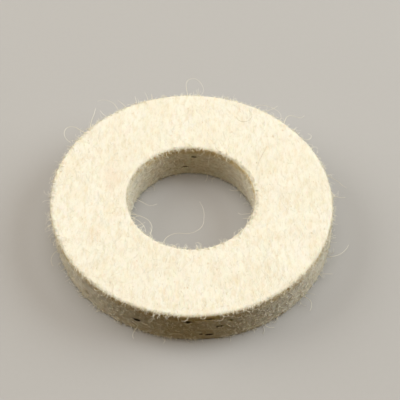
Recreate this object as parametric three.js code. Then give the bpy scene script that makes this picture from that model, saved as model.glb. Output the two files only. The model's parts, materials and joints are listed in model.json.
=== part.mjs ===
// A felt polishing wheel: one flat ring of pressed wool felt with a round bore through its middle.
// Millimetres, +Z up. The origin is the centre of the underside, and +Z is the wheel's axis.

import * as THREE from 'three';

// Driving dimensions.
const RIM_DIAMETER = 50;
const BORE_DIAMETER = 22.8;
const THICKNESS = 7.3;

// Felt has no sharp edges, and the two of the top face are a little rounder than the others.
const TOP_EDGE_RADIUS = 0.5;
const UNDER_EDGE_RADIUS = 0.3;

// Facets round the wheel, and along each quarter-round edge.
const SIDES = 96;
const EDGE_FACETS = 4;

const QUARTER_TURN = Math.PI / 2;

// The ring's section as a closed outline of (radius, height) points, from the underside's rim edge
// up the rim, across the top and down the bore. Each edge is a quarter round, and flats join them.
function ringSection() {
  const rim = RIM_DIAMETER / 2;
  const bore = BORE_DIAMETER / 2;
  const edges = [
    { radius: UNDER_EDGE_RADIUS, x: rim - UNDER_EDGE_RADIUS, y: UNDER_EDGE_RADIUS },
    { radius: TOP_EDGE_RADIUS, x: rim - TOP_EDGE_RADIUS, y: THICKNESS - TOP_EDGE_RADIUS },
    { radius: TOP_EDGE_RADIUS, x: bore + TOP_EDGE_RADIUS, y: THICKNESS - TOP_EDGE_RADIUS },
    { radius: UNDER_EDGE_RADIUS, x: bore + UNDER_EDGE_RADIUS, y: UNDER_EDGE_RADIUS },
  ];
  const outline = new THREE.Path();
  edges.forEach(({ radius, x, y }, turn) => {
    outline.absarc(x, y, radius, (turn - 1) * QUARTER_TURN, turn * QUARTER_TURN);
  });
  outline.closePath();
  // An arc is divided into twice as many steps as getPoints is asked for.
  return outline.getPoints(EDGE_FACETS / 2);
}

const felt = new THREE.MeshStandardMaterial({ color: 0xf1e8d0, roughness: 0.95, metalness: 0 });

// LatheGeometry turns its outline round +Y, so the ring is tipped over to lie flat on +Z.
function feltWheel() {
  const ring = new THREE.LatheGeometry(ringSection(), SIDES);
  ring.rotateX(QUARTER_TURN);
  const mesh = new THREE.Mesh(ring, felt);
  mesh.name = 'felt_wheel';
  return mesh;
}

const wheel = new THREE.Group();
wheel.add(feltWheel());

export default wheel;
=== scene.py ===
"""A felt polishing wheel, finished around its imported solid.

The ring is spun from its section, roughened, leaned and pitted, and then covered with the
wool that such a wheel sheds: fibres lying on its skin, short nap, a frayed fringe along its
edges and a few long loose hairs. Lengths are metres unless a name says otherwise.
"""

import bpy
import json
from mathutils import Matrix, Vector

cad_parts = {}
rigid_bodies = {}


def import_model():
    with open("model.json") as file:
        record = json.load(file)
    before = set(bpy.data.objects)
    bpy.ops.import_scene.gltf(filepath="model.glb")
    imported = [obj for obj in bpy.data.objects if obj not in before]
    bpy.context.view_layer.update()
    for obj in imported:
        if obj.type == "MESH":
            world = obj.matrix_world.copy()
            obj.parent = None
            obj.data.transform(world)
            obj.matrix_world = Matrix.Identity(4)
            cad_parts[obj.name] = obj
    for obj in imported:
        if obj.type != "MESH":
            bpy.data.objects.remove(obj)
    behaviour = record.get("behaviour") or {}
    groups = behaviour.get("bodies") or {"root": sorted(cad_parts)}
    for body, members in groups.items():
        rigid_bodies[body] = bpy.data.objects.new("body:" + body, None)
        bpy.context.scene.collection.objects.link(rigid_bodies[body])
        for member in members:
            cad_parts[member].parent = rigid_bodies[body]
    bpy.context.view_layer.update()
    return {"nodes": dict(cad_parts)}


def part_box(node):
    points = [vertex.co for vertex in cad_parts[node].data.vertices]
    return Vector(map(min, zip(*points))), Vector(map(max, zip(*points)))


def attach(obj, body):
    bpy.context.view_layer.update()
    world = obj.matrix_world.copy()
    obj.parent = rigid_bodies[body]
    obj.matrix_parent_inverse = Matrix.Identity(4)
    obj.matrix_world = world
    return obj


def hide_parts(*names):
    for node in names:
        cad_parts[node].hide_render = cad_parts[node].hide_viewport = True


bl_info = {
    "name": "Felt polishing wheel",
    "version": (1, 0, 0),
    "blender": (4, 5, 0),
    "location": "3D View > Sidebar > Felt wheel",
    "description": "Builds a pressed wool polishing wheel, its loose fibres and its studio",
    "category": "Add Mesh",
}

import json
import math
import random

import bpy
from bpy.props import FloatProperty, FloatVectorProperty, IntProperty
from mathutils import Matrix, Vector
from mathutils.bvhtree import BVHTree

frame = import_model()

SOLID = "felt_wheel"
BODY = "root"
LOW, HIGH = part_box(SOLID)
MM = 0.001
RIM = (HIGH.x - LOW.x) / 2
BORE = min(math.hypot(v.co.x, v.co.y) for v in frame["nodes"][SOLID].data.vertices)
THICKNESS = HIGH.z - LOW.z
UP = Vector((0, 0, 1))

# How finely the ring is cut: steps round it, and cuts across its faces and up its walls.
STEPS_ROUND = 540
CUTS_ACROSS = 46
CUTS_UP = 23

# How far down over a slit the nap can hang, and the fringe and curls, in millimetres.
NAP_HANGS = 0.6
FRINGE_HANGS = 1.5


# ---------------------------------------------------------------- settings


class FeltRingSettings(bpy.types.PropertyGroup):
    top_round: FloatProperty(
        name="Top edge round", description="Radius of the two edges of the top face",
        default=0.5 * MM, min=0.1 * MM, max=2 * MM, unit="LENGTH", precision=5)
    under_round: FloatProperty(
        name="Underside edge round", description="Radius of the two edges of the underside",
        default=0.3 * MM, min=0.1 * MM, max=2 * MM, unit="LENGTH", precision=5)
    lean: FloatProperty(
        name="Lean of the cut", description="How far the underside stands to the right of the top",
        default=0.46 * MM, min=0, max=2 * MM, unit="LENGTH", precision=5)
    bore_offset: FloatProperty(
        name="Bore offset", description="How far the bore was cut left of the middle",
        default=0.2 * MM, min=0, max=1 * MM, unit="LENGTH", precision=5)
    tuft_height: FloatProperty(
        name="Tuft height", description="How uneven the matted skin is",
        default=0.16 * MM, min=0, max=0.5 * MM, unit="LENGTH", precision=5)
    wool: FloatVectorProperty(
        name="Wool", description="Colour of the clean felt", subtype="COLOR",
        default=(0.885, 0.868, 0.755), min=0, max=1, size=3)
    shade: FloatVectorProperty(
        name="Shaded wool", description="Colour of the wool between the tufts", subtype="COLOR",
        default=(0.74, 0.645, 0.45), min=0, max=1, size=3)


class LooseWoolSettings(bpy.types.PropertyGroup):
    fibre: FloatProperty(
        name="Fibre thickness", description="Thickness of a lying or standing fibre",
        default=0.06 * MM, min=0.01 * MM, max=0.2 * MM, unit="LENGTH", precision=6)
    lying: IntProperty(
        name="Lying fibres", description="Fibres matted on each face of the ring",
        default=3200, min=0, max=8000)
    nap: IntProperty(
        name="Nap", description="Short standing fibres on each face of the ring",
        default=6000, min=0, max=12000)
    fringe: IntProperty(
        name="Fringe", description="Frayed fibres along the rim's top edge",
        default=3600, min=0, max=8000)
    nap_length: FloatProperty(
        name="Nap length", description="Length of the standing fibres",
        default=0.34 * MM, min=0.05 * MM, max=2 * MM, unit="LENGTH", precision=5)
    hair: FloatProperty(
        name="Hair thickness", description="Thickness of a long loose hair",
        default=0.09 * MM, min=0.01 * MM, max=0.3 * MM, unit="LENGTH", precision=6)
    curls: IntProperty(
        name="Curls", description="Small loose curls along the edges",
        default=420, min=0, max=1000)
    tip: FloatVectorProperty(
        name="Fibre tip", description="Colour of a loose fibre at its tip", subtype="COLOR",
        default=(0.89, 0.873, 0.78), min=0, max=1, size=3)
    root: FloatVectorProperty(
        name="Fibre root", description="Colour of a loose fibre where it leaves the felt",
        subtype="COLOR", default=(0.86, 0.82, 0.68), min=0, max=1, size=3)


class StudioSettings(bpy.types.PropertyGroup):
    floor: FloatVectorProperty(
        name="Floor", description="Colour of the table", subtype="COLOR",
        default=(0.47, 0.47, 0.47), min=0, max=1, size=3)
    key: FloatProperty(
        name="Key lamp", description="Power of the large lamp on the right",
        default=2.95, min=0, max=50, unit="POWER")
    second: FloatProperty(
        name="Second lamp", description="Power of the softer lamp on the left",
        default=2.42, min=0, max=50, unit="POWER")
    overhead: FloatProperty(
        name="Overhead lamp", description="Power of the lamp above the wheel",
        default=1.48, min=0, max=50, unit="POWER")
    sky: FloatProperty(
        name="Room light", description="Strength of the warm light of the room",
        default=0.27, min=0, max=5)


# ---------------------------------------------------------------- selecting


def only(piece):
    """Leaves this piece alone selected and active."""
    if bpy.context.mode != "OBJECT":
        bpy.ops.object.mode_set(mode="OBJECT")
    bpy.ops.object.select_all(action="DESELECT")
    piece.select_set(True)
    bpy.context.view_layer.objects.active = piece


def choose(piece, kind, wanted):
    """Opens the piece in edit mode with only the wanted verts, edges or faces selected."""
    only(piece)
    bpy.ops.object.mode_set(mode="EDIT")
    bpy.ops.mesh.select_mode(type=kind)
    bpy.ops.mesh.select_all(action="DESELECT")
    bpy.ops.object.mode_set(mode="OBJECT")
    mesh = piece.data
    found = 0
    for item in {"VERT": mesh.vertices, "EDGE": mesh.edges, "FACE": mesh.polygons}[kind]:
        item.select = bool(wanted(item))
        found += item.select
    if not found:
        raise RuntimeError(f"nothing was selected on {piece.name}")
    bpy.ops.object.mode_set(mode="EDIT")


def all_of(piece):
    only(piece)
    bpy.ops.object.mode_set(mode="EDIT")
    bpy.ops.mesh.select_all(action="SELECT")


def finished(piece, *materials):
    """Gives a piece its material, shades it smooth, and attaches it to the body it rides on."""
    only(piece)
    piece.data.materials.clear()
    for material in materials:
        piece.data.materials.append(material)
    bpy.ops.object.shade_smooth()
    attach(piece, BODY)


# ---------------------------------------------------------------- shading


class Board:
    """A node tree with short ways to add and wire its nodes."""

    def __init__(self, tree):
        self.tree = tree

    def node(self, kind, _outlet=0, _set=None, **inlets):
        made = self.tree.nodes.new("ShaderNode" + kind)
        for name, value in (_set or {}).items():
            setattr(made, name, value)
        for name, value in inlets.items():
            self.feed(made.inputs[name.replace("_", " ")], value)
        return made.outputs[_outlet]

    def feed(self, inlet, value):
        if isinstance(value, bpy.types.NodeSocket):
            self.tree.links.new(value, inlet)
        elif hasattr(value, "__len__") and len(value) == 3 and inlet.type == "RGBA":
            inlet.default_value = (*value, 1)
        else:
            inlet.default_value = value

    def math(self, how, *values, clamp=False):
        made = self.tree.nodes.new("ShaderNodeMath")
        made.operation, made.use_clamp = how, clamp
        for inlet, value in zip(made.inputs, values):
            self.feed(inlet, value)
        return made.outputs[0]

    def vector(self, how, *values, outlet=0):
        made = self.tree.nodes.new("ShaderNodeVectorMath")
        made.operation = how
        for inlet, value in zip(made.inputs, values):
            self.feed(inlet, value)
        return made.outputs[outlet]

    def mix(self, amount, first, second, how="MIX"):
        made = self.tree.nodes.new("ShaderNodeMix")
        made.data_type, made.blend_type, made.clamp_factor = "RGBA", how, True
        for inlet, value in zip((made.inputs[0], made.inputs[6], made.inputs[7]),
                                (amount, first, second)):
            self.feed(inlet, value)
        return made.outputs[2]

    def span(self, value, low, high, to_low=0.0, to_high=1.0):
        """Maps low..high smoothly to to_low..to_high."""
        made = self.tree.nodes.new("ShaderNodeMapRange")
        made.interpolation_type = "SMOOTHSTEP"
        for inlet, number in zip(made.inputs, (value, low, high, to_low, to_high)):
            self.feed(inlet, number)
        return made.outputs[0]

    def noise(self, place, size, detail=2.0, roughness=0.55):
        return self.node("TexNoise", Vector=place, Scale=1 / size, Detail=detail,
                         Roughness=roughness)


def group(name, inlets, outlets):
    """The board of a new empty node group, and the nodes for its inlets and outlets."""
    tree = bpy.data.node_groups.new(name, "ShaderNodeTree")
    for label, kind, value in inlets:
        socket = tree.interface.new_socket(label, in_out="INPUT", socket_type=kind)
        if value is not None:
            socket.default_value = value
    for label, kind in outlets:
        tree.interface.new_socket(label, in_out="OUTPUT", socket_type=kind)
    board = Board(tree)
    return board, tree.nodes.new("NodeGroupInput"), tree.nodes.new("NodeGroupOutput")


def spot_group():
    """A soft oval spot: stains in the felt, and the painted shade in the slits of its walls."""
    if "Felt spot" in bpy.data.node_groups:
        return bpy.data.node_groups["Felt spot"]
    board, given, out = group(
        "Felt spot",
        (("Place", "NodeSocketVector", None), ("Centre", "NodeSocketVector", None),
         ("Turn", "NodeSocketVector", None), ("Half size", "NodeSocketVector", (1, 1, 1)),
         ("Softness", "NodeSocketFloat", 0.4), ("Rag", "NodeSocketFloat", 0.4)),
        (("Mask", "NodeSocketFloat"),))
    away = board.vector("SUBTRACT", given.outputs["Place"], given.outputs["Centre"])
    made = board.tree.nodes.new("ShaderNodeVectorRotate")
    made.rotation_type, made.invert = "EULER_XYZ", True
    board.feed(made.inputs["Vector"], away)
    board.feed(made.inputs["Rotation"], given.outputs["Turn"])
    oval = board.vector("DIVIDE", made.outputs[0], given.outputs["Half size"])
    reach = board.vector("LENGTH", oval, outlet=1)
    ragged = board.noise(given.outputs["Place"], 0.22, 3, 0.7)
    ragged = board.math("MULTIPLY", board.math("SUBTRACT", ragged, 0.5), given.outputs["Rag"])
    reach = board.math("ADD", reach, board.math("MULTIPLY", ragged, 4))
    edge = board.math("SUBTRACT", 1, given.outputs["Softness"])
    board.tree.links.new(
        board.span(reach, edge, board.math("ADD", 1, given.outputs["Softness"]), 1, 0),
        out.inputs["Mask"])
    return board.tree


def streak_group():
    """Matted wool: uneven streaks that run along the felt's grain."""
    if "Wool streaks" in bpy.data.node_groups:
        return bpy.data.node_groups["Wool streaks"]
    board, given, out = group(
        "Wool streaks",
        (("Place", "NodeSocketVector", None), ("Grain", "NodeSocketVector", (1, 0.4, 1)),
         ("Width", "NodeSocketFloat", 0.6), ("Low", "NodeSocketFloat", 0.4),
         ("High", "NodeSocketFloat", 0.7)),
        (("Mask", "NodeSocketFloat"),))
    along = board.vector("MULTIPLY", given.outputs["Place"], given.outputs["Grain"])
    made = board.tree.nodes.new("ShaderNodeTexNoise")
    board.feed(made.inputs["Vector"], along)
    board.feed(made.inputs["Scale"], board.math("DIVIDE", 1, given.outputs["Width"]))
    board.feed(made.inputs["Detail"], 3)
    board.feed(made.inputs["Roughness"], 0.62)
    board.tree.links.new(
        board.span(made.outputs[0], given.outputs["Low"], given.outputs["High"]),
        out.inputs["Mask"])
    return board.tree


def new_material(name):
    material = bpy.data.materials.new(name)
    material.use_nodes = True
    material.node_tree.nodes.clear()
    board = Board(material.node_tree)
    skin = board.tree.nodes.new("ShaderNodeBsdfPrincipled")
    out = board.tree.nodes.new("ShaderNodeOutputMaterial")
    board.tree.links.new(skin.outputs[0], out.inputs[0])
    return material, board, skin


# Slits in the walls, pressed in as shallow pits and painted near-black inside as painted shade: on
# the rim or in the bore, the angle from +X in degrees, the height from the underside, the half
# length round the wheel and the half width up it, in millimetres, and how dark the painted shade
# is, which also sets the pit's depth. The last five are on the far side of the wheel.
SLITS = (
    ("rim", -110, 3.2, 0.8, 0.30, 0.97),
    ("rim", -90, 5.4, 0.7, 0.25, 0.97),
    ("rim", -82, 6.1, 0.8, 0.15, 0.85),
    ("rim", -78, 3.6, 0.6, 0.25, 0.90),
    ("rim", -74, 4.9, 0.6, 0.15, 0.80),
    ("rim", -82, 1.5, 0.7, 0.25, 0.97),
    ("rim", -85, 1.7, 0.3, 0.15, 0.80),
    ("bore", 91, 4.7, 0.5, 0.15, 0.90),
    ("bore", 99, 1.9, 0.7, 0.20, 0.70),
    ("rim", 12, 2.6, 0.5, 0.15, 0.85),
    ("rim", 58, 4.7, 0.5, 0.20, 0.80),
    ("rim", 131, 3.1, 0.6, 0.15, 0.90),
    ("rim", 163, 4.1, 0.5, 0.20, 0.85),
    ("bore", -62, 3.1, 0.5, 0.15, 0.80),
)


def wall_radius(where):
    return RIM if where == "rim" else BORE


def felt_material(settings):
    if "pressed_wool" in bpy.data.materials:
        return bpy.data.materials["pressed_wool"]
    material, board, skin = new_material("pressed_wool")
    at = board.node("TexCoord", "Object")
    at = board.vector("MULTIPLY", at, (1 / MM,) * 3)

    # The walls are the cut edge of the felt, a little darker than its faces, and browner in a band
    # of painted ochre glow under the top face.
    reach = board.vector("LENGTH", board.vector("MULTIPLY", at, (1, 1, 0)), outlet=1)
    rim, bore = RIM / MM, BORE / MM
    wall = board.math("MAXIMUM", board.span(reach, rim - 0.7, rim - 0.1),
                      board.span(reach, bore + 0.1, bore + 0.7, 1, 0))

    def streaks(width, low, high, grain=(1, 0.4, 1), shift=(0, 0, 0)):
        made = board.tree.nodes.new("ShaderNodeGroup")
        made.node_tree = streak_group()
        board.feed(made.inputs["Place"], board.vector("ADD", at, shift))
        board.feed(made.inputs["Grain"], grain)
        board.feed(made.inputs["Width"], width)
        board.feed(made.inputs["Low"], low)
        board.feed(made.inputs["High"], high)
        return made.outputs[0]

    def spot(centre, turn, half, softness, rag):
        made = board.tree.nodes.new("ShaderNodeGroup")
        made.node_tree = spot_group()
        for name, value in (("Place", at), ("Centre", centre), ("Turn", turn),
                            ("Half size", half), ("Softness", softness), ("Rag", rag)):
            board.feed(made.inputs[name], value)
        return made.outputs[0]

    tufts = streaks(0.75, 0.42, 0.70)
    fine = streaks(0.30, 0.35, 0.70, grain=(1, 0.3, 1), shift=(7, 3, 5))
    clouds = streaks(5.0, 0.35, 0.68, grain=(1, 0.7, 1), shift=(31, 17, 2))
    colour = board.mix(board.math("MULTIPLY", tufts, 0.55), settings.wool, settings.shade)
    colour = board.mix(board.math("MULTIPLY", fine, 0.42), colour, (0.97, 0.94, 0.83))
    colour = board.mix(board.math("MULTIPLY", clouds, 0.22), colour, (0.80, 0.71, 0.50))

    # Fibres that took other colours: tan, pinkish and olive flecks.
    for shift, low, colour_of, strength in (((53, 11, 0), 0.66, (0.62, 0.45, 0.25), 0.55),
                                            ((13, 71, 9), 0.67, (0.74, 0.52, 0.38), 0.42),
                                            ((91, 37, 4), 0.67, (0.50, 0.49, 0.30), 0.50)):
        flecks = streaks(0.55, low - 0.02, low + 0.08, grain=(1, 0.55, 1), shift=shift)
        colour = board.mix(board.math("MULTIPLY", flecks, strength), colour, colour_of)

    specks = streaks(0.26, 0.735, 0.775, grain=(1, 0.6, 1), shift=(5, 61, 23))
    colour = board.mix(board.math("MULTIPLY", specks, 0.55), colour, (0.22, 0.16, 0.09))

    # The cut edge: greyer low down, with a band of painted ochre glow under the top face,
    # standing in for light that seeps through the felt beneath the top edge.
    layers = streaks(0.9, 0.35, 0.70, grain=(0.7, 0.7, 1.6), shift=(3, 5, 41))
    cut_tint_and_painted_glow = board.mix(board.math("MULTIPLY", layers, 0.75), (0.94, 0.92, 0.91), (0.75, 0.71, 0.67))
    tall, top = board.node("SeparateXYZ", "Z", Vector=at), THICKNESS / MM
    wall = board.math("MULTIPLY", wall, board.span(tall, top - 0.45, top - 0.1, 1, 0))
    painted_glow_band = board.span(tall, top - 2.2, top - 0.8)
    # Painted glow: this ochre band stands in for light shining through the felt under the top
    # edge.
    cut_tint_and_painted_glow = board.mix(board.math("MULTIPLY", painted_glow_band, 0.85), cut_tint_and_painted_glow, (0.86, 0.71, 0.40))
    colour = board.mix(wall, colour, board.mix(1, colour, cut_tint_and_painted_glow, "MULTIPLY"))

    # Stains on the top face.
    for centre, half, tint, strength in (((-14.6, 3.6, THICKNESS / MM), (1.3, 2.4, 1),
                                          (0.80, 0.58, 0.44), 0.28),
                                         ((7.5, -17.5, THICKNESS / MM), (0.8, 1.2, 1),
                                          (0.70, 0.58, 0.36), 0.25),
                                         ((-17.0, -9.0, THICKNESS / MM), (1.0, 1.8, 1),
                                          (0.76, 0.60, 0.40), 0.22)):
        mask = spot(centre, (0, 0, 0), half, 0.8, 0.8)
        colour = board.mix(board.math("MULTIPLY", mask, strength), colour, tint)

    # Painted shade: each slit is painted near-black inside, darker than its shallow pit would
    # shade it.
    for where, angle, height, length, width, dark in SLITS:
        turn = math.radians(angle)
        radius = wall_radius(where) / MM
        mask = spot((radius * math.cos(turn), radius * math.sin(turn), height),
                    (0, 0, turn), (1.5, length, width), 0.25, 0.35)
        colour = board.mix(board.math("MULTIPLY", mask, dark), colour, (0.03, 0.02, 0.012))

    board.feed(skin.inputs["Base Color"], colour)
    board.feed(skin.inputs["Roughness"], board.span(fine, 0, 1, 0.98, 0.86))
    board.feed(skin.inputs["Sheen Weight"], 0.12)
    board.feed(skin.inputs["Sheen Roughness"], 0.5)
    board.feed(skin.inputs["Sheen Tint"], (1.0, 0.96, 0.86))
    board.feed(skin.inputs["Specular IOR Level"], 0.15)
    board.feed(skin.inputs["Subsurface Weight"], 0.25)
    board.feed(skin.inputs["Subsurface Radius"], (1.0, 0.62, 0.34))
    board.feed(skin.inputs["Subsurface Scale"], 0.5 * MM)

    hairs = board.noise(board.vector("MULTIPLY", at, (1, 0.35, 1)), 0.16, 4, 0.7)
    lumps = board.noise(at, 0.55, 3, 0.6)
    height = board.math("ADD", board.math("MULTIPLY", hairs, 0.6), lumps)
    board.feed(skin.inputs["Normal"],
               board.node("Bump", Strength=0.55, Distance=0.06 * MM, Height=height))
    return material


def fibre_material(settings, name="loose_wool", wear=(1, 1, 1)):
    """A loose fibre: its own tint across the map's height, root to tip along its width.

    The wear is a tint over all of it.
    """
    if name in bpy.data.materials:
        return bpy.data.materials[name]
    material, board, skin = new_material(name)
    chart = board.tree.nodes.new("ShaderNodeUVMap")
    chart.uv_map = "OFBake"
    apart = board.tree.nodes.new("ShaderNodeSeparateXYZ")
    board.feed(apart.inputs[0], chart.outputs[0])
    along, tint = apart.outputs[0], apart.outputs[1]
    root, tip = ([c * w for c, w in zip(colour, wear)] for colour in (settings.root, settings.tip))
    colour = board.mix(board.span(along, 0.0, 0.8), root, tip)
    for low, high, amount, shade in ((0.55, 0.90, 0.32, (0.78, 0.68, 0.48)),
                                     (0.945, 0.965, 0.40, (0.60, 0.50, 0.36)),
                                     (0.40, 0.05, 0.50, (0.97, 0.95, 0.86))):
        shade = [c * w for c, w in zip(shade, wear)]
        colour = board.mix(board.math("MULTIPLY", board.span(tint, low, high), amount), colour,
                           shade)
    board.feed(skin.inputs["Base Color"], colour)
    board.feed(skin.inputs["Roughness"], board.span(along, 0, 1, 0.75, 0.55))
    board.feed(skin.inputs["Specular IOR Level"], 0.25)
    board.feed(skin.inputs["Sheen Weight"], 0.1)
    return material


# ---------------------------------------------------------------- the ring


def displace(piece, name, size, height, guide=None, group=""):
    """Raises and lowers the skin with a cloud texture of the given feature size."""
    clouds = bpy.data.textures.new(name, "CLOUDS")
    clouds.noise_scale, clouds.noise_depth = size, 2
    only(piece)
    bpy.ops.object.modifier_add(type="DISPLACE")
    rough = piece.modifiers[-1]
    rough.texture, rough.strength, rough.mid_level = clouds, height, 0.5
    rough.texture_coords = "OBJECT" if guide else "LOCAL"
    rough.texture_coords_object = guide
    rough.vertex_group = group
    bpy.ops.object.modifier_apply(modifier=rough.name)
    bpy.data.textures.remove(clouds)


class FELTWHEEL_OT_press_ring(bpy.types.Operator):
    """Spin the ring from its section, then roughen, lean and pit it"""

    bl_idname = "felt_wheel.press_ring"
    bl_label = "Press the ring"
    bl_options = {"REGISTER", "UNDO"}

    def execute(self, context):
        wish = context.scene.felt_ring
        bpy.ops.object.select_all(action="DESELECT")

        # The section: a rectangle with its corners rounded, cut fine enough for the tufts.
        bpy.ops.mesh.primitive_plane_add(
            size=1, location=((RIM + BORE) / 2, 0, (LOW.z + HIGH.z) / 2),
            rotation=(math.pi / 2, 0, 0))
        ring = context.object
        ring.name = ring.data.name = "felt_ring"
        ring.scale = (RIM - BORE, THICKNESS, 1)
        bpy.ops.object.transform_apply(location=True, rotation=True, scale=True)
        middle = (LOW.z + HIGH.z) / 2
        for wanted, radius in ((lambda v: v.co.z > HIGH.z - 1e-6, wish.top_round),
                               (lambda v: v.co.z < LOW.z + 1e-6, wish.under_round)):
            choose(ring, "VERT", wanted)
            bpy.ops.mesh.bevel(offset=radius, offset_type="OFFSET", segments=4,
                               affect="VERTICES")
        all_of(ring)
        bpy.ops.mesh.delete(type="ONLY_FACE")

        def span(edge, axis):
            ends = [ring.data.vertices[i].co for i in edge.vertices]
            return abs(ends[0][axis] - ends[1][axis])

        choose(ring, "EDGE", lambda e: span(e, 0) > 5 * MM)
        bpy.ops.mesh.subdivide(number_cuts=CUTS_ACROSS)
        choose(ring, "EDGE", lambda e: span(e, 2) > 3 * MM)
        bpy.ops.mesh.subdivide(number_cuts=CUTS_UP)

        all_of(ring)
        bpy.ops.mesh.spin(steps=STEPS_ROUND, angle=2 * math.pi, center=(0, 0, 0), axis=(0, 0, 1),
                          use_auto_merge=True)
        bpy.ops.mesh.select_all(action="SELECT")
        bpy.ops.mesh.remove_doubles(threshold=0.001 * MM)
        bpy.ops.mesh.normals_make_consistent(inside=False)
        bpy.ops.object.mode_set(mode="OBJECT")

        # The bore was punched a little off the middle.
        choose(ring, "VERT", lambda v: math.hypot(v.co.x, v.co.y) < BORE + 0.02 * MM)
        bpy.ops.transform.translate(
            value=(-wish.bore_offset, 0, 0), use_proportional_edit=True,
            proportional_edit_falloff="LINEAR", proportional_size=RIM - BORE - 1 * MM)
        bpy.ops.object.mode_set(mode="OBJECT")

        # The whole blank was cut slightly out of square.
        bpy.ops.object.select_all(action="DESELECT")
        bpy.ops.object.add(type="LATTICE", location=(0, 0, middle))
        cage = context.object
        cage.scale = (2 * RIM, 2 * RIM, THICKNESS)
        cage.data.interpolation_type_w = "KEY_LINEAR"
        for point in cage.data.points:
            point.co_deform.x -= wish.lean / (2 * RIM) * math.copysign(0.5, point.co.z)
        only(ring)
        bpy.ops.object.modifier_add(type="LATTICE")
        ring.modifiers[-1].object = cage
        bpy.ops.object.modifier_apply(modifier=ring.modifiers[-1].name)
        only(cage)
        bpy.ops.object.delete()

        # The matted skin: slow swells, tufts drawn out along the grain, and fine grain.
        bpy.ops.object.select_all(action="DESELECT")
        bpy.ops.object.add(type="EMPTY", location=(0.011, -0.007, 0.003))
        grain = context.object
        grain.scale = (1, 2.4, 0.9)
        context.view_layer.update()
        displace(ring, "swell", 6 * MM, 0.12 * MM)
        ring.vertex_groups.new(name="rough")
        faces = [v.index for v in ring.data.vertices
                 if BORE + 0.3 * MM < math.hypot(v.co.x, v.co.y) < RIM - 0.5 * MM]
        ring.vertex_groups["rough"].add(range(len(ring.data.vertices)), 1.0, "REPLACE")
        ring.vertex_groups["rough"].add(faces, 0.45, "REPLACE")
        displace(ring, "tufts", 0.8 * MM, wish.tuft_height, grain, "rough")
        displace(ring, "grain", 0.42 * MM, 0.5 * wish.tuft_height, grain, "rough")
        only(grain)
        bpy.ops.object.delete()

        # Slits, pressed into the walls as shallow pits; the material paints their dark as shade.
        for where, angle, height, length, width, dark in SLITS:
            turn = math.radians(angle)
            radius = wall_radius(where)
            centre = Vector((radius * math.cos(turn), radius * math.sin(turn), height * MM))
            round_it = Vector((-math.sin(turn), math.cos(turn), 0))

            def in_slit(face):
                away = face.center - centre
                if away.length > 1.5 * MM:
                    return False
                return (math.hypot(away.dot(round_it) / (length * MM),
                                   away.z / max(width * MM, 0.16 * MM)) < 1)

            choose(ring, "FACE", in_slit)
            bpy.ops.mesh.inset(thickness=0.05 * MM)
            inwards = Vector((math.cos(turn), math.sin(turn), 0)) * (1 if where == "bore" else -1)
            bpy.ops.transform.translate(value=inwards * 0.25 * MM * dark)
        finished(ring, felt_material(wish))
        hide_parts(SOLID)
        return {"FINISHED"}


# ---------------------------------------------------------------- loose wool


class Skin:
    """The ring's surface, for finding the place nearest a point and what faces out there."""

    def __init__(self):
        ring = bpy.data.objects["felt_ring"]
        self.tree = BVHTree.FromObject(ring, bpy.context.evaluated_depsgraph_get())

    def at(self, place):
        spot, out, _, _ = self.tree.find_nearest(place)
        return spot, out


def on_face(draw, height, inset=0.0):
    """A random place on one of the two faces, and the direction of the grain there."""
    inner, outer = BORE + inset, RIM - inset
    reach = math.sqrt(draw.uniform(inner * inner, outer * outer))
    turn = draw.uniform(0, 2 * math.pi)
    return Vector((reach * math.cos(turn), reach * math.sin(turn), height)), Vector((0, 1, 0))


def on_wall(draw, radius):
    """A random place on a wall, and the direction round the wheel there."""
    turn = draw.uniform(0, 2 * math.pi)
    height = draw.uniform(LOW.z + 0.2 * MM, HIGH.z - 0.2 * MM)
    return (Vector((radius * math.cos(turn), radius * math.sin(turn), height)),
            Vector((-math.sin(turn), math.cos(turn), 0)))


def lie(skin, place, heading, points, length, curl, lift):
    """A fibre that lies on the skin and follows it, dipping in at both ends."""
    step = length / (points - 1)
    path = []
    spot, out = skin.at(place)
    for k in range(points):
        heading = Matrix.Rotation(curl, 3, out) @ heading
        heading = (heading - out * heading.dot(out)).normalized()
        rise = math.sin(math.pi * k / (points - 1))
        path.append(spot + out * (lift * (1.5 * rise - 0.5)))
        spot, out = skin.at(spot + heading * step)
    return path


def stand(skin, place, lean, length, points=3, droop=0.25):
    """A short fibre that stands on the skin and bends over towards its lean."""
    spot, out = skin.at(place)
    side = lean - out * lean.dot(out)
    step = length / (points - 1)
    path = [spot - out * 0.05 * MM]
    heading = (out + side).normalized()
    for _ in range(1, points):
        path.append(path[-1] + heading * step)
        heading = (heading + side * droop - UP * droop * 0.5).normalized()
    return path


def tuft(skin, draw, place, lean, length, fibres, points=3, droop=0.25):
    """A few fibres that stand close together and part towards their tips."""
    made = []
    for _ in range(fibres):
        near = Vector([draw.gauss(0, 0.06 * MM) for _ in range(3)])
        apart = Vector([draw.gauss(0, 0.28) for _ in range(3)])
        made.append(stand(skin, place + near, lean + apart, length * draw.uniform(0.6, 1.25),
                          points, droop))
    return made


def wander(skin, draw, place, heading, rise, arcs, points):
    """A long loose hair, through arcs of (length in mm, turn in degrees) from its root.

    It gains rise for each unit of its way.
    """
    spot, out = skin.at(place)
    fine = [spot - out * 0.1 * MM]
    for length, turn in arcs:
        steps = max(2, round(length / 0.15))
        for _ in range(steps):
            heading += math.radians(turn / steps + draw.gauss(0, 1.5))
            step = length * MM / steps
            here = fine[-1] + Vector((math.cos(heading), math.sin(heading), rise)) * step
            here.z = max(here.z, LOW.z + 0.05 * MM)
            fine.append(here)
    last = len(fine) - 1
    path = []
    for k in range(points):
        at, part = divmod(k * last / (points - 1), 1)
        at = int(at)
        path.append(fine[at].lerp(fine[min(at + 1, last)], part))
    return path


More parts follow.
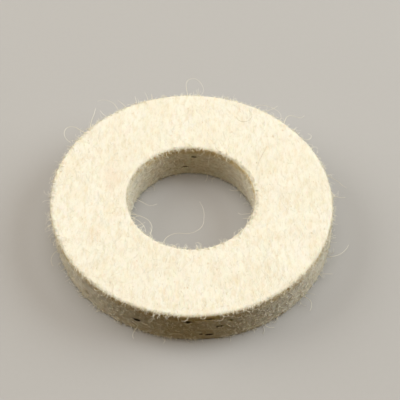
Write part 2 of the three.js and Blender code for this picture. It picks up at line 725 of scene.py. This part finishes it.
def spin_fibres(name, paths, thickness, draw, material, tip):
    """Makes one mesh of four-sided closed fibres, each with its own strip of the colour map.

    The wheel's weight presses flat whatever would stand below the table.
    """
    points = len(paths[0])
    wool = bpy.data.curves.new(name, "CURVE")
    wool.dimensions = "3D"
    wool.bevel_depth, wool.bevel_resolution, wool.use_fill_caps = thickness / 2, 0, True
    tints = []
    for path in paths:
        strand = wool.splines.new("POLY")
        strand.points.add(points - 1)
        flat, wide = [], []
        girth = draw.uniform(0.75, 1.25)
        for k, place in enumerate(path):
            flat += (place.x, place.y, max(place.z, LOW.z + thickness / 2), 1.0)
            wide.append(girth * (1 - (1 - tip) * k / (points - 1)))
        strand.points.foreach_set("co", flat)
        strand.points.foreach_set("radius", wide)
        tints.append(draw.uniform(0.03, 0.97))
    piece = bpy.data.objects.new(name, wool)
    bpy.context.scene.collection.objects.link(piece)
    only(piece)
    bpy.ops.object.convert(target="MESH")
    piece = bpy.context.object
    piece.name = piece.data.name = name

    # The caps come first in the mesh, then the sides, both in the order of the fibres.
    mesh = piece.data
    around = 4
    caps = 2 * around * len(paths)
    chart = mesh.uv_layers[0]
    chart.name = "OFBake"
    places = [0.0] * (2 * len(mesh.loops))
    chart.uv.foreach_get("vector", places)
    corners = [0] * len(mesh.loops)
    mesh.loops.foreach_get("vertex_index", corners)
    for loop, vertex in enumerate(corners):
        if vertex < caps:
            which, end = divmod(vertex // around, 2)
            places[2 * loop + 1] = tints[which] + 0.02 * (places[2 * loop] - 0.5)
            places[2 * loop] = abs(end - 0.02 * (vertex % around) / around)
        else:
            which = (vertex - caps) // (around * points)
            places[2 * loop + 1] = tints[which] + 0.04 * (places[2 * loop + 1] - 0.5)
    chart.uv.foreach_set("vector", places)
    all_of(piece)
    bpy.ops.mesh.remove_doubles(threshold=0.0005 * MM)
    bpy.ops.mesh.normals_make_consistent(inside=False)
    bpy.ops.object.mode_set(mode="OBJECT")
    finished(piece, material)
    return piece


def wool_for(wish, name):
    """Loose fibres on the walls are as brown as the cut edge that they lie on."""
    if name in ("rim", "bore"):
        return fibre_material(wish, "cut_wool", (0.90, 0.88, 0.85))
    return fibre_material(wish)


def on_slit(place, above=0.0):
    """Whether a fibre at a place, or one that hangs from so far above, would cover a slit."""
    for where, angle, height, length, width, _ in SLITS:
        turn = math.radians(angle)
        radius = wall_radius(where)
        away = place - Vector((radius * math.cos(turn), radius * math.sin(turn), height * MM))
        if away.length < (1.8 + above) * MM:
            around = away.dot(Vector((-math.sin(turn), math.cos(turn), 0)))
            if math.hypot(around / (length + 0.25 + above / 2),
                          away.z / (width + 0.27 + above)) < MM:
                return True
    return False


# Each side of the ring: its name, its height or radius, and its share of the fibres.
FACES = (("top_face", HIGH.z, 1.0), ("underside", LOW.z, 0.8))
WALLS = (("rim", RIM, 0.8), ("bore", BORE, 0.36))

# How fibres lie on a face and on a wall: their spread from the grain in degrees, the share
# that stray in any direction, the greatest length and rise in millimetres, and their girth
# for each unit of a fibre's thickness.
LYING_ON_FACE = (14, 0.08, 1.8, 0.010, 0.85)
LYING_ON_WALL = (35, 0.3, 1.4, 0.03, 1.2)

# The faces are pressed, and keep this share of the nap that a wall has.
NAP_ON_FACE = 0.3


class FELTWHEEL_OT_mat_fibres(bpy.types.Operator):
    """Mat fibres flat on the faces and the walls, most of them along the grain"""

    bl_idname = "felt_wheel.mat_fibres"
    bl_label = "Mat the fibres"
    bl_options = {"REGISTER", "UNDO"}

    def execute(self, context):
        wish = context.scene.loose_wool
        skin = Skin()
        for seed, (name, where, share) in enumerate(FACES + WALLS, 11):
            draw = random.Random(seed)
            material = wool_for(wish, name)
            paths = []
            while len(paths) < wish.lying * share:
                if (name, where, share) in FACES:
                    place, grain = on_face(draw, where, 0.1 * MM)
                    spread, stray, reach, rise, girth = LYING_ON_FACE
                else:
                    place, grain = on_wall(draw, where)
                    spread, stray, reach, rise, girth = LYING_ON_WALL
                turn = draw.uniform(-90, 90) if draw.random() < stray else draw.gauss(0, spread)
                _, out = skin.at(place)
                heading = Matrix.Rotation(math.radians(turn), 3, out) @ grain
                if draw.random() < 0.5:
                    heading.negate()
                path = lie(skin, place, heading, 5, draw.uniform(0.7, reach) * MM,
                           math.radians(draw.gauss(0, 6)), draw.uniform(0.0, rise) * MM)
                if not any(map(on_slit, path)):
                    paths.append(path)
            spin_fibres(name + "_fibres", paths, wish.fibre * girth, draw, material, tip=0.6)
        return {"FINISHED"}


class FELTWHEEL_OT_raise_nap(bpy.types.Operator):
    """Raise short nap in small tufts on the faces and the walls"""

    bl_idname = "felt_wheel.raise_nap"
    bl_label = "Raise the nap"
    bl_options = {"REGISTER", "UNDO"}

    def execute(self, context):
        wish = context.scene.loose_wool
        skin = Skin()
        for seed, (name, where, share) in enumerate(FACES + WALLS, 31):
            draw = random.Random(seed)
            material = wool_for(wish, name)
            paths = []
            face = (name, where, share) in FACES
            while len(paths) < wish.nap * share * (NAP_ON_FACE if face else 1):
                if face:
                    place, grain = on_face(draw, where)
                    lean = grain * draw.gauss(-0.8, 1.4) + Vector((draw.gauss(0, 0.6), 0, 0))
                    length = 0.5 * wish.nap_length
                else:
                    place, grain = on_wall(draw, where)
                    lean = grain * draw.gauss(0, 1.0) + UP * draw.gauss(0, 0.9)
                    length = wish.nap_length * min(2.4, draw.lognormvariate(0.1, 0.45))
                if not on_slit(place, NAP_HANGS):
                    paths += tuft(skin, draw, place, lean * 1.2, length, draw.randint(2, 5))
            spin_fibres(name + "_nap", paths, wish.fibre, draw, material, tip=0.35)
        return {"FINISHED"}


class FELTWHEEL_OT_fray_edges(bpy.types.Operator):
    """Fray the four edges with short tufts that hang over them"""

    bl_idname = "felt_wheel.fray_edges"
    bl_label = "Fray the edges"
    bl_options = {"REGISTER", "UNDO"}

    def execute(self, context):
        wish = context.scene.loose_wool
        skin, material = Skin(), fibre_material(wish)
        edges = (("rim_top", RIM, HIGH.z, 1, 1.0), ("bore_top", BORE, HIGH.z, -1, 0.45),
                 ("rim_under", RIM, LOW.z, 1, 0.8), ("bore_under", BORE, LOW.z, -1, 0.4))
        for seed, (name, radius, height, side, share) in enumerate(edges, 51):
            draw = random.Random(seed)
            top = height > THICKNESS / 2
            paths = []
            while len(paths) < wish.fringe * share:
                turn = draw.uniform(0, 2 * math.pi)
                inward = abs(draw.gauss(0, 0.25)) * MM
                down = max(0, draw.gauss(0.1, 0.25)) * MM
                reach = radius - side * inward
                outward = Vector((math.cos(turn), math.sin(turn), 0)) * side
                round_it = Vector((-math.sin(turn), math.cos(turn), 0))
                place = Vector((reach * math.cos(turn), reach * math.sin(turn),
                                height - down if top else height + down))
                lean = (outward * draw.uniform(0.3, 1.8) + round_it * draw.gauss(0, 0.9)
                        - UP * draw.uniform(0, 0.8) * (1 if top else -0.5))
                length = min(1.3, draw.lognormvariate(-0.85, 0.5)) * MM * (1 if top else 0.85)
                if on_slit(place, FRINGE_HANGS):
                    continue
                paths += tuft(skin, draw, place, lean, length, draw.randint(1, 4), 4,
                              0.3 if top else 0.0)
            spin_fibres(name + "_fringe", paths, wish.fibre * 1.2, draw, material, tip=0.3)
        return {"FINISHED"}


# The longest loose hairs, in millimetres and degrees: where each is rooted, the angle from +X
# and the height, then its heading seen from above, its rise for each unit of its way, and its
# arcs of (length, turn).
HAIRS = (
    # One long hair across the opening of the bore, loops on its left, and a few short ones.
    ("bore", -116, 7, 65, -0.25, ((1.5, 0), (3.5, -70), (1, 0), (4.5, 70), (6.5, 50))),
    ("bore", 171, 4.5, -20, -0.2, ((3.5, -5), (0.5, 20), (1.5, 55))),
    ("bore", 174, 4, -10, -0.1, ((1.5, -70), (1, -40), (1.5, -110))),
    ("bore", -160, 7, 0, -0.05, ((1, -5), (2.5, -25), (1.5, -35), (1, -30), (1.5, -15))),
    ("bore", -158, 6.5, -10, -0.1, ((2, -25), (2.5, -50))),
    ("bore", -146, 7, 20, -0.15, ((2, 30),)),
    ("bore", -141, 7, 75, -0.2, ((1.5, -60),)),
    ("bore", -137, 7, 100, -0.2, ((2, -40),)),
    ("bore", -17, 7, -155, -0.1, ((1.5, 30), (2, 60), (1, 80))),
    ("bore", -13, 6.5, -160, -0.1, ((2, -20), (1, -50))),
    ("bore", -24, 7, 150, -0.15, ((1.5, 40),)),
    ("bore", 75, 7, -135, -2, ((0.5, 20), (1, 20))),
    ("bore", 139, 5, -60, -1.2, ((1, 15),)),
    ("bore", 38, 1, -145, -0.1, ((1.5, -40), (1, -30))),
    # Loops, hooks and curls that stand out from the far side of the rim.
    ("rim", 65, 7, 35, 0, ((2.5, -35), (3, -35), (3, -70))),
    ("rim", 60, 7, 15, 0, ((2, 10), (1.5, 15))),
    ("rim", 48, 7, 80, -0.1, ((2, -5), (1, -55), (1, -45), (1, 25), (1, 60))),
    ("rim", 40, 6.5, -50, 0, ((1.5, 35), (1, 45), (1, 60), (1, 100))),
    ("rim", 17, 6.5, -40, -0.1, ((1.5, 15), (1, 0), (1.5, -20), (1, 40))),
    ("rim", 6, 6.5, -50, -0.2, ((1.5, 35), (1.5, 40))),
    ("rim", 94, 7, 105, 0, ((3, -15), (1.5, -40), (1, -45), (1, -50), (2, -25), (1.5, -20),
                            (1, -25))),
    ("rim", 126, 7, 115, -0.05, ((2, 10), (1.5, 30), (1.5, 35), (1, 30))),
    ("rim", 132, 7, 140, -0.1, ((1.5, 0), (1, -15))),
    ("rim", 142, 7, 100, -0.1, ((2, -10), (2, -5), (2, 5))),
    ("rim", 145, 7, 145, 0, ((2, 5), (1.5, 40), (1, 60), (1.5, 40), (1.5, 25), (1, 15))),
    ("rim", 117, 7, 110, 0.1, ((2, 5),)),
    ("rim", 122, 7, 130, 0.1, ((2.5, 10),)),
    ("rim", 110, 7, 95, 0.1, ((1.5, 20),)),
    # Short ones low on the near side and on the back.
    ("rim", -20, 2, 5, -0.1, ((2.5, 20), (2, 30), (1.5, 20))),
    ("rim", -29, 2, 5, -0.1, ((3, 5),)),
    ("rim", -40, 1, -5, -0.1, ((1.5, -30), (1, -45), (1.5, -25))),
    ("rim", -148, 1, -150, -0.2, ((1, 40),)),
    ("rim", -155, 4.5, -170, -0.4, ((2, 60), (1.5, 70))),
    ("rim", -110, 1, -100, -0.1, ((1, -30), (1.5, 80))),
    ("rim", -60, 1, -70, -0.1, ((1, 40), (1.5, 60))),
)


# Two darker hairs caught in the top face: the root's distance from the axis and angle, the
# heading, and the arcs.
CAUGHT = (
    (21, 69, -75, ((1, 25), (1, 50), (1.5, 55), (1.5, 45), (1, 30))),
    (18, 43, -105, ((3, 5), (3, 5))),
)


class FELTWHEEL_OT_pull_hairs(bpy.types.Operator):
    """Pull out the long loose hairs, those caught in the top face, and small curls"""

    bl_idname = "felt_wheel.pull_hairs"
    bl_label = "Pull out the hairs"
    bl_options = {"REGISTER", "UNDO"}

    def execute(self, context):
        wish = context.scene.loose_wool
        skin, material = Skin(), fibre_material(wish)
        draw = random.Random(71)
        paths = []
        for where, angle, height, heading, rise, arcs in HAIRS:
            turn, radius = math.radians(angle), wall_radius(where)
            root = Vector((radius * math.cos(turn), radius * math.sin(turn), height * MM))
            paths.append(wander(skin, draw, root, math.radians(heading), rise, arcs, 36))
        spin_fibres("loose_hairs", paths, wish.hair, draw, material, tip=0.6)

        paths = []
        for reach, angle, heading, arcs in CAUGHT:
            turn = math.radians(angle)
            root = Vector((reach * math.cos(turn), reach * math.sin(turn), HIGH.z / MM)) * MM
            flat = wander(skin, draw, root, math.radians(heading), 0, arcs, 24)
            paths.append([spot + out * 0.03 * MM for spot, out in map(skin.at, flat)])
        dark = fibre_material(wish, "dark_wool", (0.74, 0.70, 0.64))
        spin_fibres("caught_hairs", paths, wish.hair * 0.8, draw, dark, tip=0.6)

        paths = []
        while len(paths) < wish.curls:
            rim = draw.random() < 0.72
            turn = draw.uniform(0, 2 * math.pi)
            reach = RIM if rim else BORE
            height = HIGH.z if draw.random() < 0.6 else LOW.z
            height += draw.uniform(-0.8, 0.8) * MM
            root = Vector((reach * math.cos(turn), reach * math.sin(turn), height))
            if on_slit(root, FRINGE_HANGS):
                continue
            heading = turn + (0 if rim else math.pi) + draw.gauss(0, 0.9)
            bend = draw.choice((-1, 1)) * draw.uniform(30, 150)
            arcs = ((draw.uniform(0.3, 0.9), 0.3 * bend), (draw.uniform(0.5, 1.3), bend))
            paths.append(wander(skin, draw, root, heading, draw.gauss(-0.1, 0.35), arcs, 12))
        spin_fibres("loose_curls", paths, wish.hair * 0.75, draw, material, tip=0.6)
        return {"FINISHED"}


# ---------------------------------------------------------------- studio


# Each lamp's setting, its direction from +X and height above the table in degrees, its width,
# and its tint.
LAMPS = (
    ("key", 18, 30, 0.50, (0.95, 1.0, 1.0)),
    ("second", 164, 30, 0.50, (1.0, 0.98, 0.92)),
    ("overhead", 90, 85, 0.55, (0.96, 0.96, 1.0)),
)


# The lamps' distance from the wheel, and the round sweep's radius, height and bend, in metres.
LAMP_DISTANCE = 0.62
SWEEP_RADIUS = 0.9
SWEEP_HEIGHT = 0.8
SWEEP_BEND = 0.3

# Where the camera looks on the table, its distance from there and its lens in millimetres, and
# its rise and roll in degrees.
CAMERA_AIM = (1.25, 5)
CAMERA_DISTANCE = 192
CAMERA_LENS = 93
CAMERA_RISE = 51.5
CAMERA_ROLL = 2


def lamp(name, aim, azimuth, height, size, power, tint):
    """A round area lamp, turned to face the aim."""
    bpy.ops.object.select_all(action="DESELECT")
    turn, rise = math.radians(azimuth), math.radians(height)
    away = Vector((math.cos(turn) * math.cos(rise), math.sin(turn) * math.cos(rise),
                   math.sin(rise)))
    bpy.ops.object.light_add(type="AREA", location=aim + away * LAMP_DISTANCE)
    made = bpy.context.object
    made.name = name
    made.rotation_mode = "QUATERNION"
    made.rotation_quaternion = (-away).to_track_quat("-Z", "Y")
    made.data.shape, made.data.size = "DISK", size
    made.data.energy, made.data.color = power, tint


class FELTWHEEL_OT_set_studio(bpy.types.Operator):
    """Set the wheel on a pale round sweep under soft lamps, and set up the camera"""

    bl_idname = "felt_wheel.set_studio"
    bl_label = "Set the studio"
    bl_options = {"REGISTER", "UNDO"}

    def execute(self, context):
        wish, scene = context.scene.studio, context.scene
        bpy.ops.object.select_all(action="DESELECT")
        bpy.ops.mesh.primitive_circle_add(vertices=96, radius=SWEEP_RADIUS, fill_type="NGON",
                                          location=(0, 0, LOW.z))
        sweep = context.object
        sweep.name = sweep.data.name = "table_sweep"
        bpy.ops.object.transform_apply(location=True, rotation=True, scale=True)
        choose(sweep, "EDGE", lambda e: True)
        bpy.ops.mesh.extrude_edges_move(TRANSFORM_OT_translate={"value": (0, 0, SWEEP_HEIGHT)})
        choose(sweep, "EDGE", lambda e: all(sweep.data.vertices[i].co.z < LOW.z + 1e-4
                                            for i in e.vertices))
        bpy.ops.mesh.bevel(offset=SWEEP_BEND, segments=12, affect="EDGES")
        bpy.ops.object.mode_set(mode="OBJECT")
        bpy.ops.object.shade_smooth()
        paper, board, skin = new_material("table_paper")
        grain = board.noise(board.node("TexCoord", "Object"), 0.0009, 3, 0.6)
        board.feed(skin.inputs["Base Color"],
                   board.mix(board.span(grain, 0.3, 0.7, 0, 0.06), wish.floor,
                             tuple(0.85 * c for c in wish.floor)))
        board.feed(skin.inputs["Roughness"], 0.9)
        board.feed(skin.inputs["Specular IOR Level"], 0.1)
        sweep.data.materials.append(paper)
        sweep.visible_diffuse = False

        aim = Vector((0, 0, THICKNESS / 2))
        for name, azimuth, height, size, tint in LAMPS:
            lamp(name + "_lamp", aim, azimuth, height, size, getattr(wish, name), tint)

        # Warm light from the room, from above only.
        room = bpy.data.worlds.new("room")
        scene.world = room
        room.use_nodes = True
        board = Board(room.node_tree)
        board.tree.nodes.clear()
        apart = board.node("SeparateXYZ", "Z", Vector=board.node("TexCoord", "Generated"))
        light = board.node("Background", Color=(1.0, 0.70, 0.30),
                           Strength=board.span(apart, -0.05, 0.25, 0, wish.sky))
        out = board.tree.nodes.new("ShaderNodeOutputWorld")
        board.tree.links.new(light, out.inputs[0])

        bpy.ops.object.select_all(action="DESELECT")
        aim = Vector((CAMERA_AIM[0] * MM, CAMERA_AIM[1] * MM, LOW.z))
        rise, roll = math.radians(CAMERA_RISE), math.radians(CAMERA_ROLL)
        back = Vector((0, -math.cos(rise), math.sin(rise)))
        level, upright = Vector((1, 0, 0)), Vector((0, math.sin(rise), math.cos(rise)))
        right = level * math.cos(roll) + upright * math.sin(roll)
        above = upright * math.cos(roll) - level * math.sin(roll)
        bpy.ops.object.camera_add(location=aim + back * CAMERA_DISTANCE * MM)
        camera = context.object
        camera.name = "studio_camera"
        camera.rotation_mode = "QUATERNION"
        camera.rotation_quaternion = Matrix((right, above, back)).transposed().to_quaternion()
        camera.data.sensor_width, camera.data.lens = 36, CAMERA_LENS
        camera.data.clip_start, camera.data.clip_end = 0.005, 10
        scene.camera = camera
        scene.view_settings.view_transform = "Standard"
        return {"FINISHED"}


# ---------------------------------------------------------------- panel


STEPS = (FELTWHEEL_OT_set_studio, FELTWHEEL_OT_press_ring, FELTWHEEL_OT_mat_fibres,
         FELTWHEEL_OT_raise_nap, FELTWHEEL_OT_fray_edges, FELTWHEEL_OT_pull_hairs)
GROUPS = (("felt_ring", FeltRingSettings), ("loose_wool", LooseWoolSettings),
          ("studio", StudioSettings))


class FELTWHEEL_PT_panel(bpy.types.Panel):
    """Lists the wheel's settings and its steps in the order they are taken"""

    bl_idname = "FELTWHEEL_PT_panel"
    bl_label = "Felt wheel"
    bl_space_type = "VIEW_3D"
    bl_region_type = "UI"
    bl_category = "Felt wheel"

    def draw(self, context):
        for name, settings in GROUPS:
            box = self.layout.box()
            for prop in settings.__annotations__:
                box.prop(getattr(context.scene, name), prop)
        for step in STEPS:
            self.layout.operator(step.bl_idname)


def register():
    for name, settings in GROUPS:
        bpy.utils.register_class(settings)
        setattr(bpy.types.Scene, name, bpy.props.PointerProperty(type=settings))
    for made in (*STEPS, FELTWHEEL_PT_panel):
        bpy.utils.register_class(made)


def unregister():
    for made in reversed((*STEPS, FELTWHEEL_PT_panel)):
        bpy.utils.unregister_class(made)
    for name, settings in reversed(GROUPS):
        delattr(bpy.types.Scene, name)
        bpy.utils.unregister_class(settings)


def main():
    register()
    bpy.ops.felt_wheel.set_studio()
    bpy.ops.felt_wheel.press_ring()
    bpy.ops.felt_wheel.mat_fibres()
    bpy.ops.felt_wheel.raise_nap()
    bpy.ops.felt_wheel.fray_edges()
    bpy.ops.felt_wheel.pull_hairs()


if __name__ == "__main__":
    main()
